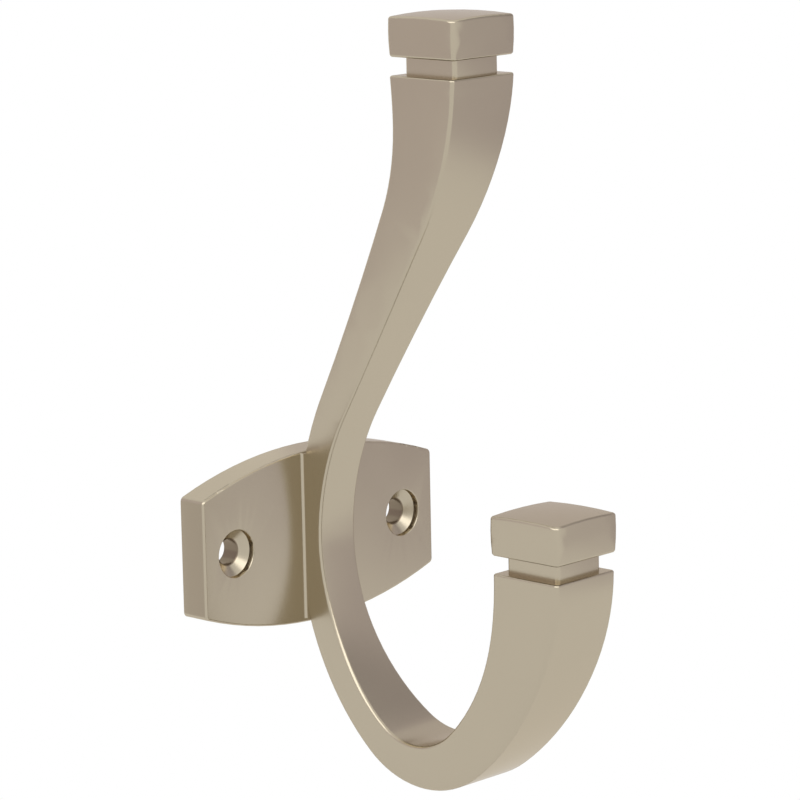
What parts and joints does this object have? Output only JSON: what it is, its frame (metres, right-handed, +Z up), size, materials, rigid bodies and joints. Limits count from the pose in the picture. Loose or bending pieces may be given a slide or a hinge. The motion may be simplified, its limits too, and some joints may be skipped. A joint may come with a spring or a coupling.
{
  "type": "double robe hook",
  "caption": "Wall-mounted double hook: an arched back plate with an S-shaped arm of square section that ends in two square-capped pegs, one above the other.",
  "frame": {"origin": "middle of the back plate's flat back face, which lies on the wall", "axes": "+Z up, +Y into the wall, so the pegs stand out towards -Y; +X to the right of someone who faces the wall"},
  "size_m": [0.0534, 0.063, 0.1246],
  "materials": {
    "satin_nickel": "satin nickel plate over a zinc die casting"
  },
  "bodies": {
    "root": {"hook_casting": "satin_nickel"}
  },
  "joints": []
}
